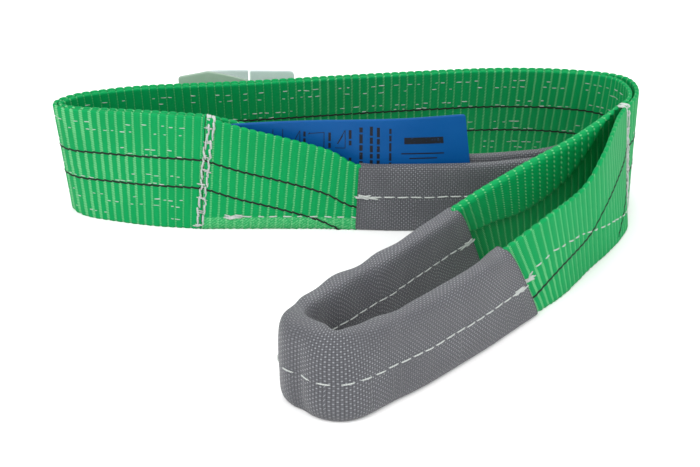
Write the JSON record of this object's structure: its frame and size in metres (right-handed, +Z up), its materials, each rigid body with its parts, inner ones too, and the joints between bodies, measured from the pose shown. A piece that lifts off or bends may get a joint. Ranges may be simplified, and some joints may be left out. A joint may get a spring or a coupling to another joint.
{
  "type": "flat web sling",
  "caption": "Flat two-ply webbing sling with a soft sleeved eye at each end and a sewn-in label, folded flat and lying on its edges.",
  "frame": {"origin": "on the floor plane under the middle of the folded sling", "axes": "+X to the right along the body, +Y towards the rear run, +Z up across the webbing"},
  "size_m": [0.2798, 0.2278, 0.0602],
  "materials": {
    "web_green": "woven polyester webbing with cross ribs",
    "thread_white": "twisted sewing thread",
    "marker_black": "woven-in marker thread",
    "sleeve_grey": "tubular basket weave",
    "label_blue": "coated satin label",
    "label_mark": "printed ink",
    "tag_fabric": "thin coated cloth"
  },
  "bodies": {
    "rear_run": {"rear_inner_ply": "web_green", "rear_marker_threads": "marker_black", "rear_outer_ply": "web_green", "rear_stitching": "thread_white", "tag_left_leaf": "tag_fabric", "tag_seam": "thread_white"},
    "left_run": {"left_bar_tack": "thread_white", "left_run_inner_ply": "web_green", "left_run_marker_threads": "marker_black", "left_run_outer_ply": "web_green", "left_run_stitching": "thread_white"},
    "left_eye": {"label_print": "label_mark", "label_sheet": "label_blue", "left_front_hem": "web_green", "left_front_hem_seam": "thread_white", "left_front_marker": "marker_black", "left_front_sleeve": "sleeve_grey", "left_front_sleeve_seam": "thread_white", "left_front_sleeve_tack": "thread_white", "left_front_strand": "web_green", "left_rear_hem": "web_green", "left_rear_sleeve": "sleeve_grey", "left_rear_sleeve_seam": "thread_white", "left_rear_sleeve_tack": "thread_white", "left_rear_strand": "web_green"},
    "left_eye_tip": {"left_eye_tip_hem": "web_green", "left_eye_tip_seam": "thread_white", "left_eye_tip_sleeve": "sleeve_grey", "left_eye_tip_web": "web_green"},
    "right_run": {"right_bar_tack": "thread_white", "right_run_inner_ply": "web_green", "right_run_marker_threads": "marker_black", "right_run_outer_ply": "web_green", "right_run_stitching": "thread_white"},
    "right_eye": {"right_far_hem": "web_green", "right_far_sleeve": "sleeve_grey", "right_far_sleeve_seam": "thread_white", "right_far_sleeve_tack": "thread_white", "right_far_strand": "web_green", "right_near_hem": "web_green", "right_near_hem_seam": "thread_white", "right_near_marker": "marker_black", "right_near_sleeve": "sleeve_grey", "right_near_sleeve_seam": "thread_white", "right_near_sleeve_tack": "thread_white", "right_near_strand": "web_green"},
    "right_eye_tip": {"right_eye_tip_hem": "web_green", "right_eye_tip_seam": "thread_white", "right_eye_tip_sleeve": "sleeve_grey", "right_eye_tip_web": "web_green"},
    "tag_flap": {"tag_right_leaf": "tag_fabric"}
  },
  "joints": [
    {"name": "right_bend", "type": "hinge", "parent": "rear_run", "child": "right_run", "pos_m": [0.1372, 0.0741, 0.03], "axis": [0, 0, 1], "range_deg": [0, 90]},
    {"name": "right_eye_fold", "type": "hinge", "parent": "right_run", "child": "right_eye", "pos_m": [0.1304, 0.0506, 0.03], "axis": [0, 0, 1], "range_deg": [-1, 50]},
    {"name": "right_tip_fold", "type": "hinge", "parent": "right_eye", "child": "right_eye_tip", "pos_m": [0.0382, -0.0477, 0.03], "axis": [0, 0, 1], "range_deg": [-10, 10]},
    {"name": "left_bend", "type": "hinge", "parent": "rear_run", "child": "left_run", "pos_m": [-0.1368, 0.0603, 0.03], "axis": [0, 0, 1], "range_deg": [-22.5, 0]},
    {"name": "left_eye_fold", "type": "hinge", "parent": "left_run", "child": "left_eye", "pos_m": [-0.0666, 0.0419, 0.03], "axis": [0, 0, 1], "range_deg": [-1, 5]},
    {"name": "left_tip_fold", "type": "hinge", "parent": "left_eye", "child": "left_eye_tip", "pos_m": [0.063, 0.0455, 0.03], "axis": [0, 0, 1], "range_deg": [-1, 8]},
    {"name": "tag_flap_fold", "type": "hinge", "parent": "rear_run", "child": "tag_flap", "pos_m": [-0.05, 0.10285, 0.03], "axis": [-0.0083, -0.0912, 0.9958], "range_deg": [0, 45]}
  ],
  "couplings": [
    {"joint": "left_bend", "follows": "right_bend", "ratio": -0.25}
  ]
}
